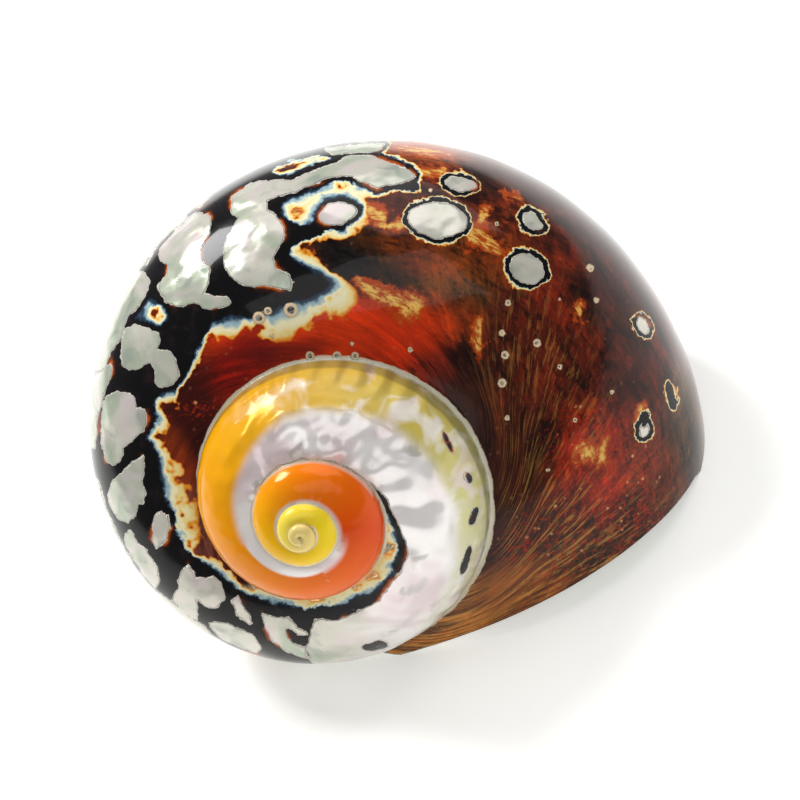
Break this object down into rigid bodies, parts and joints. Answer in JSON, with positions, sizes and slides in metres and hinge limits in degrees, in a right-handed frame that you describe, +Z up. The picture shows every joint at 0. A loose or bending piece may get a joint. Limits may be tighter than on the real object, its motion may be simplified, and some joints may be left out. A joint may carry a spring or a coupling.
{
  "type": "turban shell",
  "caption": "Polished turban snail shell, coiled to the right with a low spire and a wide round aperture, lying on its lip.",
  "frame": {"origin": "centre of the bounding box, on the surface that the shell lies on", "axes": "+Z up, away from that surface; the spire points to -Y and up, so the picture's camera looks along +Y and down"},
  "size_m": [0.079, 0.0604, 0.0546],
  "materials": {
    "shell": "polished shell, glossy, with bare pearly patches"
  },
  "bodies": {
    "root": {"turban_shell": "shell"}
  },
  "joints": []
}
